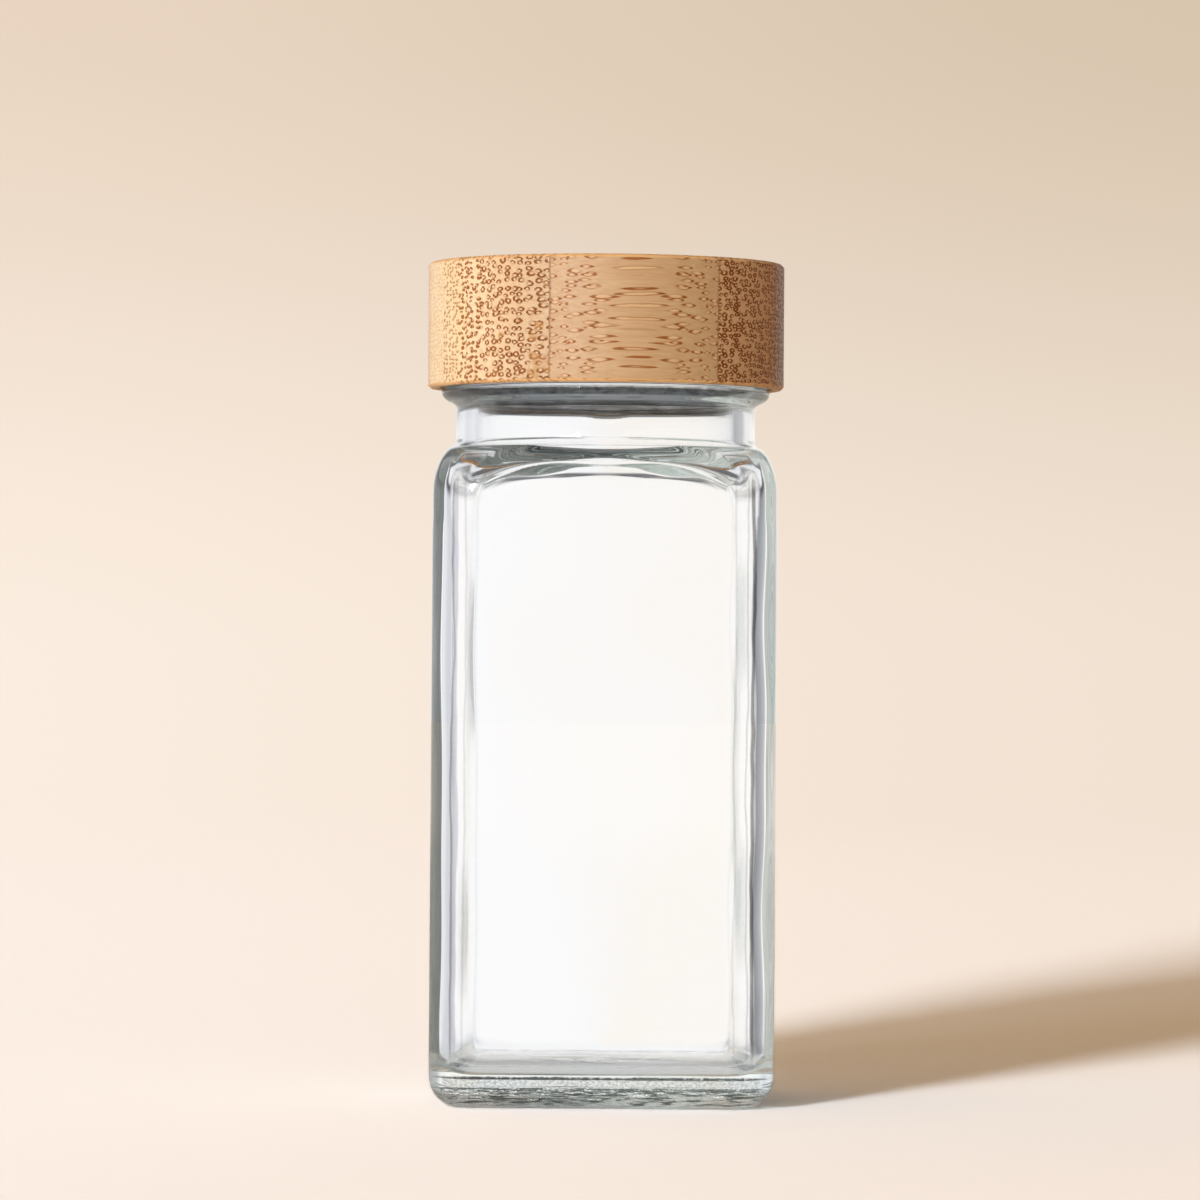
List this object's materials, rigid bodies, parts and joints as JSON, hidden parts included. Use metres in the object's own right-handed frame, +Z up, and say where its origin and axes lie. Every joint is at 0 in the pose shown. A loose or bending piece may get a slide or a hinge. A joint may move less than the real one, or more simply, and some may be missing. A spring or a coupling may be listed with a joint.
{
  "type": "spice jar",
  "caption": "Square clear glass spice jar with arched panels, a snap-in shaker insert and a laminated bamboo lid that screws onto its round threaded neck.",
  "frame": {"origin": "middle of the base, on the surface the jar stands on", "axes": "+Z up through the mouth, -Y towards the front panel that the picture shows, +X to the right of that panel"},
  "size_m": [0.0466, 0.0466, 0.1096],
  "materials": {
    "glass": "clear pressed flint glass",
    "shaker": "moulded natural polypropylene",
    "seal": "soft white sealing disc",
    "liner": "moulded white polypropylene",
    "bamboo": "turned and sanded laminated bamboo"
  },
  "bodies": {
    "jar": {"glass_jar": "glass"},
    "shaker": {"shaker_insert": "shaker"},
    "seal": {"seal_disc": "seal"},
    "lid": {"cap_liner": "liner", "bamboo_strip_1": "bamboo", "bamboo_strip_2": "bamboo", "bamboo_strip_3": "bamboo", "bamboo_strip_4": "bamboo", "bamboo_strip_5": "bamboo", "bamboo_strip_6": "bamboo"}
  },
  "joints": [
    {"name": "shaker_turn", "type": "hinge", "parent": "jar", "child": "shaker", "pos_m": [0, 0, 0.1035], "axis": [0, 0, 1], "continuous": true},
    {"name": "lid_rise", "type": "slide", "parent": "jar", "child": "seal", "axis": [0, 0, 1], "range_m": [0, 0.02116]},
    {"name": "lid_turn", "type": "hinge", "parent": "seal", "child": "lid", "pos_m": [0, 0, 0.1], "axis": [0, 0, 1], "range_deg": [0, 1800]}
  ],
  "couplings": [
    {"joint": "lid_rise", "follows": "lid_turn", "m_per_rad": 0.00067323}
  ]
}
